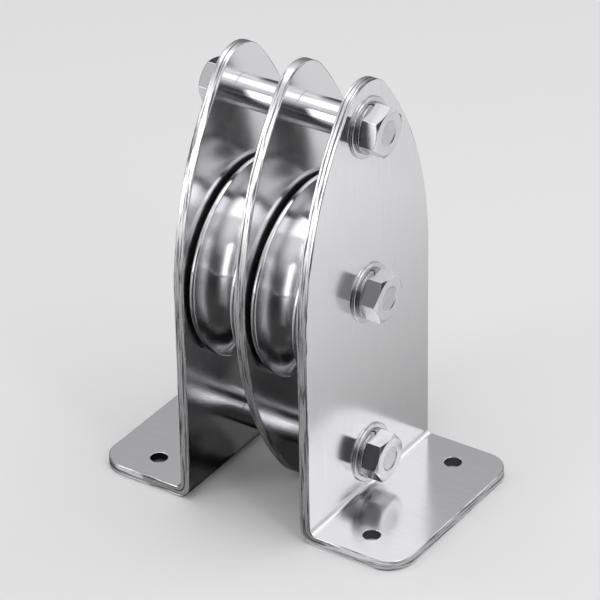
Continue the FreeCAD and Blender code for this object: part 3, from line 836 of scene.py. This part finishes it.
studio = {
    "floorColor": (0.80, 0.80, 0.80), "floorHalf": 3.0, "paperRoughness": 0.9, "paperSpecular": 0.2,
    "flagColor": (0.01, 0.01, 0.01), "flagRoughness": 0.12,
    "worldLow": (0.06, 0.06, 0.063), "worldHigh": (0.95, 0.95, 0.96), "worldStrength": 0.90,
    "worldRise": (0.22, 0.88),
    "lamps": [
        # name, place, aim, size, energy
        ("overhead", (0.0, 0.02, 0.95), (0, 0, 0.08), (1.9, 0.56), 3.4),
        ("backRight", (0.50, 0.74, 0.46), (0, 0, 0.10), (0.7, 0.92), 1.55),
        ("rightStrip", (0.70, -0.30, 0.50), (0, 0, 0.08), (0.16, 0.6), 0.9),
        ("leftStrip", (-0.58, -1.00, 0.42), (0, 0, 0.10), (0.46, 0.82), 3.0),
    ],
    "flags": [
        # dark cards lying on the floor, seen only in the polished steel, which paint dark reflections into
        # it; the middle one is painted shade under the block between the plates: name, height, corners
        ("frontFlag", 0.001, [(0.03, -0.04), (-0.045, -0.04), (-2.10, -2.54), (2.60, -1.53)]),
        ("middleFlag", 0.001, [(-0.07, -0.04), (0.023, -0.04), (0.023, 0.12), (-0.07, 0.12)]),
        ("rearFlag", 0.0005, [(0.023, 0.0), (0.023, 1.1), (-0.977, 1.72), (-0.977, 0.62)]),
    ],
    # a card right of the block, seen only in reflections, painted darker close by: painted shade on the
    # floor, which darkens the right plate's reflection towards its foot
    "shade": {"height": 0.0007, "corners": [(0.024, -0.04), (0.354, -0.04), (0.354, 0.20), (0.024, 0.20)],
              "near": 0.49, "far": 0.93, "from": 0.045, "to": 0.165},
}


def layCard(name, height, corners, material):
    # a card on the floor that only reflections see
    card = makeObject(name, [(x, y, height) for x, y in corners], [(0, 1, 2, 3)], None, [material])
    card.visible_camera = False
    card.visible_diffuse = False
    card.visible_shadow = False


def buildStudio():
    half = studio["floorHalf"]
    floor = makeObject("floor", [(-half, -half, 0), (half, -half, 0), (half, half, 0), (-half, half, 0)],
                       [(0, 1, 2, 3)])
    material = bpy.data.materials.new("floorPaper")
    material.use_nodes = True
    shader = material.node_tree.nodes["Principled BSDF"]
    shader.inputs["Base Color"].default_value = (*studio["floorColor"], 1)
    shader.inputs["Roughness"].default_value = studio["paperRoughness"]
    shader.inputs["Specular IOR Level"].default_value = studio["paperSpecular"]
    floor.data.materials.append(material)
    world = bpy.data.worlds.new("studioWorld")
    world.use_nodes = True
    bpy.context.scene.world = world
    add, join = nodeTool(world.node_tree)
    background = world.node_tree.nodes["Background"]
    background.inputs["Strength"].default_value = studio["worldStrength"]
    place = add("ShaderNodeTexCoord")
    upward = add("ShaderNodeSeparateXYZ")
    join(place.outputs["Generated"], upward.inputs[0])
    rise = add("ShaderNodeMapRange", interpolation_type="SMOOTHSTEP")
    rise.inputs["From Min"].default_value, rise.inputs["From Max"].default_value = studio["worldRise"]
    join(upward.outputs["Z"], rise.inputs["Value"])
    join(colorBetween(add, join, rise.outputs[0], studio["worldLow"], studio["worldHigh"]),
         background.inputs["Color"])
    for name, spot, aim, size, energy in studio["lamps"]:
        lamp = bpy.data.lights.new(name, "AREA")
        lamp.shape = "RECTANGLE"
        lamp.size, lamp.size_y = size
        lamp.energy = energy
        holder = bpy.data.objects.new(name, lamp)
        holder.location = spot
        holder.rotation_euler = (Vector(aim) - Vector(spot)).to_track_quat("-Z", "Y").to_euler()
        bpy.context.scene.collection.objects.link(holder)
    card = bpy.data.materials.new("flagCard")
    card.use_nodes = True
    shader = card.node_tree.nodes["Principled BSDF"]
    shader.inputs["Base Color"].default_value = (*studio["flagColor"], 1)
    shader.inputs["Roughness"].default_value = studio["flagRoughness"]
    for name, height, corners in studio["flags"]:
        layCard(name, height, corners, card)
    s = studio["shade"]
    paper, add, join, shader = startMaterial("shadeCard", studio["floorColor"], studio["paperRoughness"])
    shader.inputs["Metallic"].default_value = 0
    shader.inputs["Specular IOR Level"].default_value = studio["paperSpecular"]
    place = add("ShaderNodeTexCoord")
    split = add("ShaderNodeSeparateXYZ")
    join(place.outputs["Object"], split.inputs[0])
    # the grey ramp is painted shade, darker near the block and paler further out
    ramp = rangeOf(add, join, split.outputs["X"], s["near"], s["far"], s["from"], s["to"])
    gray = add("ShaderNodeCombineXYZ")
    for socket in gray.inputs:
        join(ramp, socket)
    join(gray.outputs[0], shader.inputs["Base Color"])
    layCard("shadeCard", s["height"], s["corners"], paper)
    bpy.context.scene.view_settings.view_transform = "Standard"


view = {
    "place": (0.644398, -0.952486, 0.773303), "azimuth": 34.1324, "pitch": 31.4031, "roll": -1.0066,
    "lens": 230.63, "sensor": 36.0, "clipStart": 0.05, "clipEnd": 20,
}


def buildCamera():
    azimuth, pitch, roll = (math.radians(view[key]) for key in ("azimuth", "pitch", "roll"))
    level = math.cos(pitch)
    back = Vector((math.sin(azimuth) * level, -math.cos(azimuth) * level, math.sin(pitch)))
    right = Vector((math.cos(azimuth), math.sin(azimuth), 0))
    up = back.cross(right)
    tiltedRight = math.cos(roll) * right + math.sin(roll) * up
    tiltedUp = -math.sin(roll) * right + math.cos(roll) * up
    data = bpy.data.cameras.new("photoView")
    data.lens, data.sensor_width = view["lens"], view["sensor"]
    data.clip_start, data.clip_end = view["clipStart"], view["clipEnd"]
    camera = bpy.data.objects.new("photoView", data)
    camera.matrix_world = Matrix((
        (tiltedRight.x, tiltedUp.x, back.x, view["place"][0]),
        (tiltedRight.y, tiltedUp.y, back.y, view["place"][1]),
        (tiltedRight.z, tiltedUp.z, back.z, view["place"][2]),
        (0, 0, 0, 1)))
    bpy.context.scene.collection.objects.link(camera)
    bpy.context.scene.camera = camera


buildStudio()
buildCamera()
print("studio and camera set")
